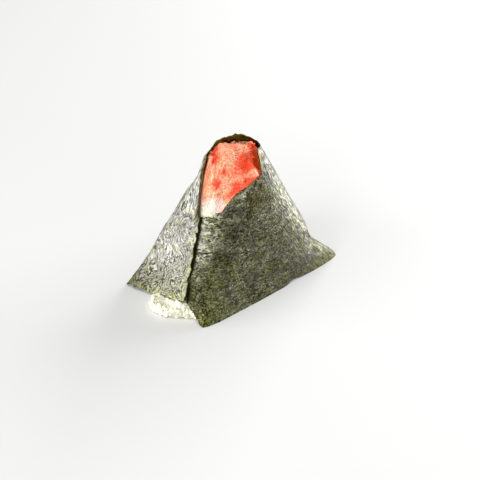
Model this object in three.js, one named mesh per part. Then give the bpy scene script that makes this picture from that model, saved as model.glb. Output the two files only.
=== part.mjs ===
// Triangular rice ball (onigiri) wrapped in one sheet of nori, open at the top over a filling of roe.
// Units are millimetres, +Z is up, and the origin is the middle of the base, on the ground.
//
// Every surface comes from one tapering "tent", tent(p, z). p runs once round the rice ball:
//   0 = front left corner, 1 = front right, 2 = back right, 3 = back left, 4 = front left again
// and z is the height. The nori follows the tent just outside it, rice and roe fill it inside.
import * as THREE from 'three';

// ---- driving dimensions (mm) ----
const TALL = 90;              // height over which the tent's sides are described
const FRONT_LEFT_X = [-42, -15.5, -2.3];  // at the ground, at TALL, and bulge half way up
const BACK_LEFT_X = [-50, -14, -0.5];
const RIGHT_X = [42, 6, 3.0];
const FRONT_Y = [-27.5, -6.5, 0.7];
const BACK_Y = [26, 2, 4.0];
const SQUARENESS = [5, 2.3];  // power of the rounded cross-section, at the ground and near the top
// sheet corners that stand out at the base, a dent under the hood at the back left, a fuller front
// left corner half way up and a kink above the right corner:
// p, reach in x, reach in y, height where it is greatest, reach in height, width in p, fall-off
const WINGS = [
  [0, -5.5, -1.5, 0, 9, 0.17, 1.0],
  [1, 11.5, -1.0, 0, 15, 0.16, 1.5],
  [2, 5.0, 1.0, 0, 12, 0.18, 1.2],
  [3, -11.0, 3.0, 0, 16, 0.20, 1.0],
  [3, 3.2, -2.2, 70, 8, 0.35, 2.0],
  [0, 1.6, 1.2, 40, 16, 0.22, 2.0],
  [1, -2.6, 1.0, 15, 6.5, 0.22, 2.0],
];
const SHEET = 0.6;            // thickness of the nori
const SHEET_START = -0.65;    // p where the sheet begins, under its own flap
const SHEET_END = 3.75;       // p where the flap ends, on the left face
const FLAP_LIFT = 1.5;        // how far the flap stands off the sheet under it
const GAP = 0.4;              // clearance between nori and filling
const RICE_TONGUE = 10.0;     // how far the rice squeezes out under the flap
const HEAP = [-3.5, -2.5, 80.5];      // middle of the roe, and the height of its top

// ---- small helpers ----
const clamp01 = (t) => Math.min(1, Math.max(0, t));

function ease(a, b, t) {
  const u = clamp01((t - a) / (b - a));
  return u * u * (3 - 2 * u);
}

const mix = (a, b, t) => a + (b - a) * t;
const bell = (middle, width, t) => Math.exp(-(((t - middle) / width) ** 2));

// straight taper plus a bulge that is greatest half way up
function taper([low, high, bulge], z) {
  const h = z / TALL;
  return mix(low, high, h) + 4 * bulge * h * (1 - h);
}

// the point at p on the outline of the square from (-1, -1) to (1, 1)
function onSquare(p) {
  const q = ((p % 4) + 4) % 4;
  const side = Math.floor(q);
  const f = 2 * (q - side) - 1;
  return [[f, -1], [1, f], [-f, 1], [-1, -f]][side];
}

// gentle unevenness of a hand-pressed rice ball
function uneven(p, z) {
  const turn = (p * Math.PI) / 2;
  const broad = Math.sin(2 * turn + 0.055 * z + 0.6) * Math.sin(0.09 * z + 1.1);
  const small = Math.sin(7 * turn - 0.13 * z + 2.0) * Math.sin(0.16 * z + 0.4);
  return 0.35 * broad + 0.22 * small;
}

function tentPlain(p, z, wing) {
  const power = mix(SQUARENESS[0], SQUARENESS[1], ease(0, 80, z));
  const [cx, cy] = onSquare(p);
  const size = (Math.abs(cx) ** power + Math.abs(cy) ** power) ** (1 / power);
  const ux = cx / size;
  const uy = cy / size;
  const back = (1 + uy) / 2;
  const left = mix(taper(FRONT_LEFT_X, z), taper(BACK_LEFT_X, z), back);
  let x = mix(left, taper(RIGHT_X, z), (1 + ux) / 2);
  let y = mix(taper(FRONT_Y, z), taper(BACK_Y, z), back);
  for (const [corner, reachX, reachY, middle, height, width, fall] of WINGS) {
    const d = ((((p - corner + 2) % 4) + 4) % 4) - 2;
    const share = middle > 0 ? 1 : wing;
    const w = share * Math.exp(-((d / width) ** 2)) * Math.exp(-((Math.abs(z - middle) / height) ** fall));
    x += reachX * w;
    y += reachY * w;
  }
  return [x, y];
}

// a point of the tent moved out along the horizontal normal; wing is how much of the corners it has
function tent(p, z, out, wing = 1) {
  const [x, y] = tentPlain(p, z, wing);
  const [x2, y2] = tentPlain(p + 0.002, z, wing);
  const length = Math.hypot(x2 - x, y2 - y);
  const push = (out + uneven(p, z)) / length;
  return [x + (y2 - y) * push, y - (x2 - x) * push, z];
}

// ---- edges of the nori sheet ----
function sheetBottom(p) {
  const flap = (1.6 + 7.6 * clamp01((p - 3.3) / 0.455)) * ease(2.95, 3.1, p);
  const tuckedUnder = 8.2 * Math.sin((clamp01(-p / 0.42) * Math.PI) / 2);
  const kink = 2.2 * bell(0.7, 0.045, p);
  return p > 2.5 ? flap : p < 0 ? tuckedUnder : kink;
}

function sheetTop(p) {
  const front = 48 + 4.8 * ease(-0.6, -0.25, p) + 10.7 * ease(-0.05, 0.45, p) + 1.5 * ease(0.4, 0.68, p);
  const rise = 14.5 * ease(0.7, 0.96, p) + 5.3 * ease(1.3, 2.4, p);
  const hood = rise - 1.3 * bell(1.45, 0.32, p) + 1.3 * bell(2.65, 0.22, p);
  const flap = p > 2.7 ? 3.5 * ease(2.75, 3.2, p) + 26 * clamp01((p - 3.36) / 0.39) ** 1.15 : 0;
  return front + hood - flap;
}

// the flap lifts, and its free edge waves a little more
function flapLift(p, z) {
  const wave = 0.45 + 0.35 * Math.sin(0.21 * z) + 0.3 * Math.sin(0.67 * z + 1);
  return FLAP_LIFT * ease(2.9, 3.4, p) + wave * ease(3.62, 3.75, p);
}

// ---- closed body from rings of points ----
// rings[k][i] are points; every ring is closed, the first and last rings shrink to a flat or round cap
function bodyFromRings(rings, capLow, capHigh) {
  const count = rings[0].length;
  const positions = rings.flat(2);
  const index = [];
  for (let k = 0; k + 1 < rings.length; k += 1) {
    for (let i = 0; i < count; i += 1) {
      const a = k * count + i;
      const b = k * count + ((i + 1) % count);
      index.push(a, b, b + count, a, b + count, a + count);
    }
  }
  const low = positions.length / 3;
  positions.push(...capLow, ...capHigh);
  const last = (rings.length - 1) * count;
  for (let i = 0; i < count; i += 1) {
    const j = (i + 1) % count;
    index.push(low, j, i, low + 1, last + i, last + j);
  }
  return makeGeometry(positions, index);
}

function makeGeometry(positions, index) {
  const geometry = new THREE.BufferGeometry();
  geometry.setAttribute('position', new THREE.Float32BufferAttribute(positions, 3));
  geometry.setIndex(index);
  geometry.computeVertexNormals();
  return geometry;
}

function piece(name, geometry, color, roughness) {
  const material = new THREE.MeshStandardMaterial({ color, roughness, metalness: 0 });
  const mesh = new THREE.Mesh(geometry, material);
  mesh.name = name;
  return mesh;
}

// p values crowd together at the corners, where the outline bends
const CROWDING = 0.55 / (2 * Math.PI);
const crowd = (q) => q - CROWDING * Math.sin(2 * Math.PI * q);

function uncrowd(p) {
  let q = p;
  for (let step = 0; step < 30; step += 1) q = p + CROWDING * Math.sin(2 * Math.PI * q);
  return q;
}

// ---- nori: one sheet, wound once round and lapped over itself on the left face ----
function noriGeometry(columns = 98, rows = 13) {
  const positions = [];
  const index = [];
  const across = columns + 1;
  const up = rows + 1;
  for (const out of [0, SHEET]) {
    for (let j = 0; j < up; j += 1) {
      for (let i = 0; i < across; i += 1) {
        const p = crowd(mix(uncrowd(SHEET_START), uncrowd(SHEET_END), i / columns));
        const z = mix(sheetBottom(p), sheetTop(p), j / rows);
        positions.push(...tent(p, z, out + flapLift(p, z)));
      }
    }
  }
  const at = (side, j, i) => (side * up + j) * across + i;
  const quad = (a, b, c, d) => index.push(a, b, c, a, c, d);
  for (let j = 0; j < rows; j += 1) {
    for (let i = 0; i < columns; i += 1) {
      quad(at(1, j, i), at(1, j, i + 1), at(1, j + 1, i + 1), at(1, j + 1, i));
      quad(at(0, j, i), at(0, j + 1, i), at(0, j + 1, i + 1), at(0, j, i + 1));
    }
    quad(at(0, j, 0), at(1, j, 0), at(1, j + 1, 0), at(0, j + 1, 0));
    quad(at(1, j, columns), at(0, j, columns), at(0, j + 1, columns), at(1, j + 1, columns));
  }
  for (let i = 0; i < columns; i += 1) {
    quad(at(0, 0, i), at(0, 0, i + 1), at(1, 0, i + 1), at(1, 0, i));
    quad(at(1, rows, i), at(1, rows, i + 1), at(0, rows, i + 1), at(0, rows, i));
  }
  return makeGeometry(positions, index);
}

// ---- rice: fills the tent, squeezes out under the flap, dished on top for the roe ----
const tongue = (p) => ease(3.27, 3.45, p) * (1 - ease(3.56, 3.9, p));

function riceTop(p) {
  const bareTip = p > 2 ? ease(3.45, 3.7, p) : 1 - ease(0.0, 0.3, p);
  return 54 + 6 * bareTip;
}

// height up to which the rice is bare, below the edge of the nori
function bareHeight(p) {
  const inner = p > 3.3 ? sheetBottom(p - 4) : 99;
  const outer = p < SHEET_END + 0.02 ? sheetBottom(p) : 99;
  return Math.max(p > 3.12 && p < 3.9 ? 0.8 : 2.6, Math.min(inner, outer) - 0.7);
}

function ricePoint(p, t) {
  const bare = bareHeight(p);
  if (t >= 1) {
    const z = mix(bare, riceTop(p), t - 1);
    return tent(p, z, -GAP, 0.3);
  }
  const z = bare * t;
  const roundUnder = 1 - Math.sqrt(Math.max(0, 1 - (1 - clamp01(t / 0.45)) ** 2));
  const roundOver = Math.sqrt(Math.max(0, 1 - clamp01((t - 0.35) / 0.65) ** 2));
  const lumps = 1 + 0.05 * Math.sin(31 * p + 2.5) + 0.03 * Math.sin(53 * p + 1);
  const out = RICE_TONGUE * tongue(p) * roundOver * lumps - 2.2 * roundUnder;
  return tent(p, z, out - GAP, 0.3);
}

function topRing(p, inward, lift) {
  const [x, y, z] = ricePoint(p, 2);
  const dish = (1 - inward) ** 2;
  return [mix(x, HEAP[0], inward), mix(y, HEAP[1] + 1, inward), mix(50, z, dish) + lift];
}

function riceGeometry(columns = 92) {
  const ps = Array.from({ length: columns }, (_, i) => crowd((4 * i) / columns));
  const sides = [0, 0.12, 0.3, 0.55, 0.8, 1, 1.14, 1.3, 1.45, 1.6, 1.75, 1.9, 2];
  const rings = sides.map((t) => ps.map((p) => ricePoint(p, t)));
  for (const inward of [0.25, 0.6]) rings.push(ps.map((p) => topRing(p, inward, 0)));
  return bodyFromRings(rings, [0, 0, 0], [HEAP[0], HEAP[1] + 1, 50]);
}

// ---- roe: heaped in the opening, its face falling from the hood to the front and left edges ----
function heapHeight(x, y) {
  const forward = Math.max(0, -y) / 12.5;
  const leftward = Math.max(0, -x - 8);
  return HEAP[2] - 16.5 * forward ** 1.8 - 0.022 * leftward ** 2;
}

function roeEdge(p) {
  const q = p > 3.72 ? p - 4 : p;
  const lower = 6.7 * ease(0.8, 1.25, q) * (1 - 0.8 * ease(2.6, 3.2, q));
  const below = 0.1 + lower - 1.6 * bell(2.6, 0.4, q) - 1.2 * bell(3.33, 0.12, q) + bell(3.61, 0.05, q);
  return Math.max(sheetTop(q) - below, riceTop(p) + 1.5);
}

// the roe stands a little back from the free side of the flap
const roeInset = (p, t) => -GAP - 0.35 - 0.3 * t * ease(3.0, 3.3, p) * (1 - ease(3.66, 3.8, p));

function roeGeometry(columns = 72) {
  const ps = Array.from({ length: columns }, (_, i) => crowd((4 * i) / columns));
  const rings = [];
  for (const inward of [0.6, 0.25]) rings.push(ps.map((p) => topRing(p, inward, GAP)));
  for (const t of [0.02, 0.35, 0.7, 1]) {
    rings.push(ps.map((p) => tent(p, mix(riceTop(p) + GAP, roeEdge(p), t), roeInset(p, t), 0.3)));
  }
  const [cx, cy] = HEAP;
  for (const inward of [0.1, 0.24, 0.4, 0.58, 0.78]) {
    rings.push(ps.map((p) => {
      const edge = tent(p, roeEdge(p), roeInset(p, 1), 0.3);
      const turn = (p * Math.PI) / 2;
      const x = mix(edge[0], cx, inward);
      const y = mix(edge[1], cy, inward);
      const lumps = 0.35 * Math.sin(5 * turn + 5 * inward) * Math.sin(11 * inward + 2 * turn);
      return [x, y, mix(edge[2], heapHeight(x, y) + lumps, ease(0, 0.42, inward))];
    }));
  }
  return bodyFromRings(rings, [cx, cy + 1, 50 + GAP], [cx, cy, heapHeight(cx, cy)]);
}

const onigiri = new THREE.Group();
onigiri.add(piece('rice', riceGeometry(), 0xf1efe4, 0.55));
onigiri.add(piece('nori', noriGeometry(), 0x44472f, 0.5));
onigiri.add(piece('roe', roeGeometry(), 0xee7a58, 0.4));

export default onigiri;
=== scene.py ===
# %% [markdown]
# # A wrapped rice ball
# The rice ball has three things that show: one sheet of nori wound round it and lapped over itself,
# the pressed rice that looks out below the flap and at the tip of the opening, and the salted roe
# heaped in the opening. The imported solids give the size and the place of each. Every cell below
# makes one piece or one finish, starting with the frame that they all stand in.

# %% Load the frame
import math
import bpy
import numpy as np
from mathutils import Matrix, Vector


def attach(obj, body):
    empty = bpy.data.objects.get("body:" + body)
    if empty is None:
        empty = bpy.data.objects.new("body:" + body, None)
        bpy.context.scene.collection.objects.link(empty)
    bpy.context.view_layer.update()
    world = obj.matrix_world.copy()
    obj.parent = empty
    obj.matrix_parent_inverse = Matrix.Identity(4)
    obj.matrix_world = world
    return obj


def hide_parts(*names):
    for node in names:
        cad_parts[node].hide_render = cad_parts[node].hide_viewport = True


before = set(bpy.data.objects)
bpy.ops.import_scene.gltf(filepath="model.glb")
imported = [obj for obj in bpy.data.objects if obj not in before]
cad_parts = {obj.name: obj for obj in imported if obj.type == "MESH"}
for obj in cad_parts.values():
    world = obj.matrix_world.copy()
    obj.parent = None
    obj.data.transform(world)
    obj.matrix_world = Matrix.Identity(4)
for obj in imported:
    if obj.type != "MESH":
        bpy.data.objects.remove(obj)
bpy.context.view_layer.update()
from types import SimpleNamespace

MM = 0.001

# %% [markdown]
# ## Small tools
# A few short helpers carry most of the shapes. `ease` rises smoothly from 0 to 1 between two values,
# `bell` is a smooth bump round one value, and `mix` goes from one value to another. `noise` is the
# usual smooth random field: a random number at every corner of a grid of cubes, blended between the
# corners. `beads` is a packed bed of round domes. They all work on whole arrays.

# %% Helpers for values
def ease(low, high, value):
    """0 below low, 1 above high, and the S-curve t*t*(3 - 2t) between them."""
    t = np.clip((value - low) / (high - low), 0.0, 1.0)
    return t * t * (3.0 - 2.0 * t)


def bell(value, middle, width):
    """1 at the middle and falling away on both sides: exp(-((value - middle) / width)^2)."""
    return np.exp(-(((value - middle) / width) ** 2))


def mix(start, end, share):
    """start + (end - start) * share."""
    return start + (end - start) * share


def lattice(ix, iy, iz, seed):
    """A repeatable random number from 0 to 1 for each whole-number grid corner."""
    h = ix * 374761393 + iy * 668265263 + iz * 2147483647 + seed * 1274126177
    h = (h ^ (h >> 13)) * 1103515245
    h = (h ^ (h >> 16)) & 0xFFFFFF
    return h / float(0xFFFFFF)


def noise(points, size, seed=0):
    """Smooth random field from 0 to 1; size is the distance between the grid's corners."""
    q = np.asarray(points, float) / size
    base = np.floor(q).astype(np.int64)
    f = q - base
    f = f * f * (3.0 - 2.0 * f)
    total = 0.0
    for dx in (0, 1):
        for dy in (0, 1):
            for dz in (0, 1):
                weight = (
                    (f[..., 0] if dx else 1 - f[..., 0])
                    * (f[..., 1] if dy else 1 - f[..., 1])
                    * (f[..., 2] if dz else 1 - f[..., 2])
                )
                corner = lattice(base[..., 0] + dx, base[..., 1] + dy, base[..., 2] + dz, seed)
                total = total + weight * corner
    return total


def beads(points, size, seed=0):
    """Domes of a packed bed of beads: 1 at a bead's middle, 0 between beads; size is their spacing."""
    q = np.asarray(points, float) / size
    base = np.floor(q).astype(np.int64)
    nearest = np.full(q.shape[:-1], 9.0)
    for dx in (-1, 0, 1):
        for dy in (-1, 0, 1):
            for dz in (-1, 0, 1):
                cell = base + np.array((dx, dy, dz))
                jitter = [lattice(cell[..., 0], cell[..., 1], cell[..., 2], seed + k) for k in (1, 2, 3)]
                centre = cell + 0.5 + 0.8 * (np.stack(jitter, -1) - 0.5)
                nearest = np.minimum(nearest, ((q - centre) ** 2).sum(-1))
    return np.sqrt(np.clip(1.0 - nearest / 0.42, 0.0, 1.0))


print("noise at three points:", noise(np.eye(3) * 7.0, 2.0).round(3))

# %% [markdown]
# ## From arrays to meshes
# A grid of points with `rows` x `columns` entries becomes four-sided faces by numbering the points
# and joining each with its right and upper neighbours. `foreach_set` hands the arrays to Blender in
# one go, which is far quicker than adding vertices one at a time.

# %% Helpers for meshes
def grid_faces(rows, columns, closed, start=0, flip=False):
    """Quads of a rows x columns grid; closed joins the last column to the first."""
    j, i = np.meshgrid(np.arange(rows - 1), np.arange(columns if closed else columns - 1), indexing="ij")
    right = (i + 1) % columns
    a, b = j * columns + i, j * columns + right
    quads = np.stack([a, b, b + columns, a + columns], -1).reshape(-1, 4) + start
    return quads[:, ::-1] if flip else quads


def build(name, points_mm, quads, triangles=()):
    """A mesh object from points in millimetres, quads and triangles."""
    points = np.asarray(points_mm, float).reshape(-1, 3) * MM
    triangles = np.asarray(triangles, int).reshape(-1, 3)
    mesh = bpy.data.meshes.new(name)
    mesh.vertices.add(len(points))
    mesh.vertices.foreach_set("co", points.ravel())
    corners = np.concatenate([np.asarray(quads).ravel(), triangles.ravel()])
    starts = np.concatenate([np.arange(len(quads)) * 4, len(quads) * 4 + np.arange(len(triangles)) * 3])
    mesh.loops.add(len(corners))
    mesh.loops.foreach_set("vertex_index", corners)
    mesh.polygons.add(len(starts))
    mesh.polygons.foreach_set("loop_start", starts)
    mesh.polygons.foreach_set("use_smooth", np.full(len(starts), True))
    mesh.update(calc_edges=True)
    mesh.validate()
    piece = bpy.data.objects.new(name, mesh)
    bpy.context.scene.collection.objects.link(piece)
    print(f"{name}: {len(points)} points, {2 * len(quads) + len(triangles)} triangles")
    return piece


def paint(piece, name, values):
    """Store one number, or one vector, per vertex, for a material to read."""
    values = np.asarray(values, float)
    kind, key = ("FLOAT_VECTOR", "vector") if values.ndim == 2 else ("FLOAT", "value")
    layer = piece.data.attributes.new(name, kind, "POINT")
    layer.data.foreach_set(key, values.ravel())


print("faces of a closed grid of 3 x 4 points:", len(grid_faces(3, 4, True)))

# %% [markdown]
# ## The tent under the sheet
# Sheet, rice and roe all follow one tapering tent. `p` runs once round it, with whole numbers at the
# corners (0 front left, 1 front right, 2 back right, 3 back left), and `z` is the height in
# millimetres. The cross-section is a square whose corners get rounder towards the top: points of the
# square are divided by their n-norm, (|x|^n + |y|^n)^(1/n), which bends a square into a circle as n
# falls from 5 to 2.3. At the base the four corners of the sheet stand out as wings, and a few softer
# bulges higher up are made in the same way.

# %% The tent
TALL = 90.0
# each side: its place at the ground, its place at the height TALL, and its bulge half way
FRONT_LEFT_X, BACK_LEFT_X, RIGHT_X = (-42, -15.5, -2.3), (-50, -14, -0.5), (42, 6, 3.0)
FRONT_Y, BACK_Y = (-27.5, -6.5, 0.7), (26, 2, 4.0)
# corner, reach in x and in y, height of the middle, half height, half width in p, steepness
WINGS = (
    (0, -5.5, -1.5, 0, 9, 0.17, 1.0),
    (1, 11.5, -1.0, 0, 15, 0.16, 1.5),
    (2, 5.0, 1.0, 0, 12, 0.18, 1.2),
    (3, -11.0, 3.0, 0, 16, 0.20, 1.0),
    (3, 3.2, -2.2, 70, 8, 0.35, 2.0),
    (0, 1.6, 1.2, 40, 16, 0.22, 2.0),
    (1, -2.6, 1.0, 15, 6.5, 0.22, 2.0),
)


def taper(ends, z):
    """Straight from the first value at the ground to the second at TALL, plus a bulge half way."""
    h = z / TALL
    return mix(ends[0], ends[1], h) + 4 * ends[2] * h * (1 - h)


def on_square(p):
    """The point at p on the outline of the square from (-1, -1) to (1, 1)."""
    side = np.floor(np.mod(p, 4.0)).astype(int)
    f = 2 * (np.mod(p, 4.0) - side) - 1
    one = np.ones_like(f)
    return np.choose(side, [f, one, -f, -one]), np.choose(side, [-one, f, one, -f])


def uneven(p, z):
    """Broad unevenness of a hand-pressed rice ball."""
    turn = p * np.pi / 2
    broad = np.sin(2 * turn + 0.055 * z + 0.6) * np.sin(0.09 * z + 1.1)
    small = np.sin(7 * turn - 0.13 * z + 2.0) * np.sin(0.16 * z + 0.4)
    return 0.35 * broad + 0.22 * small


def tent_outline(p, z, wing):
    """x and y of the tent: the rounded square stretched between its four sloping sides, plus wings."""
    power = mix(5.0, 2.3, ease(0, 80, z))
    cx, cy = on_square(p)
    size = (np.abs(cx) ** power + np.abs(cy) ** power) ** (1 / power)
    across, back = (1 + cx / size) / 2, (1 + cy / size) / 2
    left = mix(taper(FRONT_LEFT_X, z), taper(BACK_LEFT_X, z), back)
    x = mix(left, taper(RIGHT_X, z), across)
    y = mix(taper(FRONT_Y, z), taper(BACK_Y, z), back)
    for corner, reach_x, reach_y, middle, height, width, fall in WINGS:
        d = np.mod(p - corner + 2, 4) - 2
        share = 1.0 if middle else wing
        w = share * np.exp(-((d / width) ** 2) - (np.abs(z - middle) / height) ** fall)
        x, y = x + reach_x * w, y + reach_y * w
    return x, y


def tent(p, z, out, wing=1.0):
    """The tent moved outwards by `out` along its horizontal normal."""
    p, z, out = np.broadcast_arrays(np.asarray(p, float), np.asarray(z, float), np.asarray(out, float))
    x, y = tent_outline(p, z, wing)
    x2, y2 = tent_outline(p + 0.002, z, wing)
    push = (out + uneven(p, z)) / np.hypot(x2 - x, y2 - y)
    return np.stack([x + (y2 - y) * push, y - (x2 - x) * push, z], -1)


INSIDE_WING = 0.3    # the rice and the roe follow the sheet's wings only in part
CROWDING = 0.55 / (2 * np.pi)


def crowd(q):
    """Even steps of q become steps of p that are closer together at the corners."""
    return q - CROWDING * np.sin(2 * np.pi * q)


def uncrowd(p):
    """The q that crowd turns into p, found by repeating q = p + c sin(2 pi q)."""
    q = p
    for _ in range(30):
        q = p + CROWDING * np.sin(2 * np.pi * q)
    return q


print("tent at the ground, corners:", tent(np.arange(4.0), 0.0, 0.0).round(1).tolist())

# %% [markdown]
# ## The nori sheet
# A sheet of nori is pressed, dried seaweed, about a quarter of a millimetre thick, with a finely
# wrinkled face. It is one strip here: it starts under its own flap on the left face, runs round the
# front, right and back, and ends in a free edge that stands off the layer under it. Its upper edge
# is low in front, to show the roe, and rises to a hood behind. The two faces are two grids, joined
# along their borders, so that the sheet is a closed thin body.

# %% Edges of the sheet
SHEET_START, SHEET_END = -0.65, 3.75
ROUND = 70.0


def at_edge(p, size, seed):
    """Noise along an edge, from -1 to 1; `size` is in millimetres at ROUND millimetres a side."""
    return 2 * noise(np.stack([p * ROUND, 0 * p, 0 * p], -1), size, seed) - 1


def sheet_bottom(p):
    """Height of the lower edge: on the ground, but lifted on the left face by the rice under it."""
    flap = (1.6 + 7.6 * np.clip((p - 3.3) / 0.455, 0, 1)) * ease(2.95, 3.1, p)
    under = 8.2 * np.sin(np.clip(-p / 0.42, 0, 1) * np.pi / 2)
    kink = 2.2 * bell(p, 0.70, 0.045)
    return np.where(p > 2.5, flap, np.where(p < 0, under, kink))


def sheet_top(p):
    """Height of the upper edge: low in front, a steep rise at the right corner, a hood behind."""
    front = 48 + 4.8 * ease(-0.6, -0.25, p) + 10.7 * ease(-0.05, 0.45, p) + 1.5 * ease(0.4, 0.68, p)
    hood = 14.5 * ease(0.70, 0.96, p) + 5.3 * ease(1.3, 2.4, p)
    hood = hood - 1.3 * bell(p, 1.45, 0.32) + 1.3 * bell(p, 2.65, 0.22)
    flap = 3.5 * ease(2.75, 3.2, p) + 26 * np.clip((p - 3.36) / 0.39, 0, 1) ** 1.15
    return front + hood - np.where(p > 2.7, flap, 0)


def flap_lift(p, z):
    """The flap stands off the layer under it, most at its free edge, which waves a little."""
    wave = 0.45 + 0.35 * np.sin(0.21 * z) + 0.3 * np.sin(0.67 * z + 1)
    return 1.5 * ease(2.9, 3.4, p) + wave * ease(3.62, 3.75, p)


def sheet_grid(rows, columns):
    """p and z of the grid between the sheet's four edges, which are all a little ragged."""
    p = crowd(np.linspace(uncrowd(SHEET_START), uncrowd(SHEET_END), columns))[None, :]
    low = sheet_bottom(p)
    low = low + (0.45 * at_edge(p, 2.6, 1) + 0.25 * at_edge(p, 1.1, 7) + 0.4) * ease(0.2, 1.5, low)
    in_front = 0.65 * at_edge(p, 2.4, 2) + 0.45 * at_edge(p, 1.0, 8)
    behind = 0.7 * at_edge(p, 7.5, 2) + 0.35 * at_edge(p, 3.4, 8)
    high = sheet_top(p) + mix(in_front, behind, ease(0.7, 1.0, p)) + 1.2 * ease(3.0, 3.2, p)
    z = mix(low, high, np.linspace(0, 1, rows)[:, None])
    ragged = 0.013 * at_edge(z / ROUND, 2.6, 9) + 0.006 * at_edge(z / ROUND, 0.9, 10)
    ragged = ragged - 0.03 * bell(z, 56, 5)
    return p + ragged * ease(3.5, 3.75, p), z, low, high


print("heights of the sheet's upper edge in front:", sheet_top(np.array((0.0, 0.5, 1.0))).round(1))

# %% [markdown]
# ## Wrinkles with a direction
# Wrinkles in dried nori are narrow, a few millimetres long and run with a grain that swirls from
# place to place. Stretched noise gives long patches, but only in one direction. So thirteen fixed
# directions are each given their own stretched noise, and at every point the ones that lie nearest
# the wanted direction are blended. The absolute value then folds the noise: broad rounded ridges
# with sharp creases between them.

# %% Steered wrinkles
SHARPNESS = 14
corners = np.array([(i, j, k) for i in (-1, 0, 1) for j in (-1, 0, 1) for k in (-1, 0, 1)], float)
AXES = np.array([c / np.linalg.norm(c) for c in corners if tuple(c) > (0, 0, 0)])


def steered(points, direction, width, length, seed):
    """Noise from -1 to 1 with patches `width` across and `length` long along `direction`."""
    total, power = 0.0, 0.0
    for k, axis in enumerate(AXES):
        squeezed = points + (points @ axis)[..., None] * axis * (width / length - 1)
        weight = np.abs(direction @ axis) ** SHARPNESS
        total = total + weight * (2 * noise(squeezed, width, seed + k) - 1)
        power = power + weight ** 2
    return total / np.sqrt(power)


def unit(vectors):
    """Vectors divided by their length."""
    return vectors / np.maximum(np.linalg.norm(vectors, axis=-1, keepdims=True), 1e-9)


def wrinkles(points, p, z):
    """Height of the wrinkles, of the broad bumps under them, and how near the right corner is."""
    around = unit(np.gradient(points, axis=1))
    up = unit(np.gradient(points, axis=0))
    left = np.maximum(ease(2.7, 3.15, p), 1 - ease(-0.22, 0.02, p))
    right = bell(p, 1.0, 0.26)
    swirl = 2 * np.pi * noise(points, 15.0, 50) + 1.5 * noise(points, 5.0, 51)
    upright = np.clip(right * 1.3 + left * ease(38, 62, z), 0, 1)
    angle = mix(swirl, np.pi / 2 + 0.9 * (noise(points, 7.0, 52) - 0.5), upright)
    direction = around * np.cos(angle)[..., None] + up * np.sin(angle)[..., None]
    crest = np.clip(2.0 * np.abs(steered(points, direction, 2.3, 7.5, 100)), 0, 1.2)
    strength = np.maximum(np.maximum(0.95 * left, 0.85 * right), 0.38)
    broad = 0.6 * (noise(points, 8.0, 53) - 0.5) + 0.3 * (noise(points, 3.6, 54) - 0.5)
    return 0.26 * strength * (crest - 0.5), broad * (0.4 + 0.6 * strength), right


def run_along(points, along, across, length, swirl):
    """Swirled coordinates (across, along / length, depth): bands across them become wrinkles."""
    shift = np.stack([noise(points, 14.0, seed) - 0.5 for seed in (61, 62, 63)], -1)
    fine = np.stack([noise(points, 5.0, seed) - 0.5 for seed in (64, 65, 66)], -1)
    moved = points + (9.0 * shift + 2.5 * fine) * swirl[..., None]
    axis = unit(np.array(along))
    side = unit(np.array(across) - axis * (axis @ np.array(across)))
    return np.stack([moved @ side, moved @ axis / length, moved @ np.cross(axis, side)], -1)


print("fixed directions:", len(AXES))

# %% [markdown]
# ## The closed sheet
# The outer face carries the wrinkles on a fine grid. The inner face shows only inside the hood, so
# its grid has half as many rows and columns. A strip of triangles closes each border: three of them
# join every two fine steps to one coarse step. Solidify could give the sheet its thickness as well,
# but with as many faces inside as outside. On the flap the upper rim leans inwards a little.

# %% Make the sheet
ROWS, COLUMNS = 189, 421
OUTER_FACE, THICK = 0.50, 0.34
p, z, low, high = sheet_grid(ROWS, COLUMNS)
smooth_face = tent(p, z, OUTER_FACE + flap_lift(p, z))
height, broad, right = wrinkles(smooth_face, p, z)
from_edge = np.minimum(np.minimum(z - low, high - z), np.abs(SHEET_END - p) * 45)
height = height * ease(0.0, 1.6, from_edge + 0.3)
lip = 0.8 * ease(3.0, 3.2, p) * ease(3.0, 0.2, high - z)
middle_face = OUTER_FACE + flap_lift(p, z) + broad - lip
outer = tent(p, z, middle_face + height)
inner = tent(p[::2, ::2], z[::2, ::2], middle_face[::2, ::2] - THICK)
inner_rows, inner_columns = inner.shape[:2]
count = ROWS * COLUMNS
number = np.arange(count).reshape(ROWS, COLUMNS)
inner_number = count + np.arange(inner_rows * inner_columns).reshape(inner_rows, inner_columns)
quads = np.concatenate([
    grid_faces(ROWS, COLUMNS, False),
    grid_faces(inner_rows, inner_columns, False, count, flip=True),
])
borders = (
    (number[0], inner_number[0], True),
    (number[-1], inner_number[-1], False),
    (number[:, 0], inner_number[:, 0], False),
    (number[:, -1], inner_number[:, -1], True),
)
hems = []
for fine, coarse, turned in borders:
    a, b, c, d, e = fine[:-1:2], fine[1::2], fine[2::2], coarse[:-1], coarse[1:]
    hem = np.concatenate([np.stack(t, -1) for t in ((a, b, d), (b, c, e), (b, e, d))])
    hems.append(hem[:, ::-1] if turned else hem)
sheet_points = np.concatenate([outer.reshape(-1, 3), inner.reshape(-1, 3)])
nori = build("nori_sheet", sheet_points, quads, np.concatenate(hems))

# %% [markdown]
# ## Marks on the sheet
# The finish of nori changes from place to place, so each kind of place is stored as one number per
# vertex, from 0 to 1, and the material reads it by its name. A painted texture could hold the same
# marks, but numbers on the vertices need no unwrapping and follow the shape when it changes. Most
# marks are a product of a few `ease` and `bell` curves of p and z.

# %% Marks at the edges of the sheet
def from_corner(corner):
    """Millimetres from one of the sheet's lower corners, over its face."""
    return np.hypot((p - corner) * 60, z)


from_top, from_bottom = np.maximum(high - z, 0), np.maximum(z - low, 0)
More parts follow.
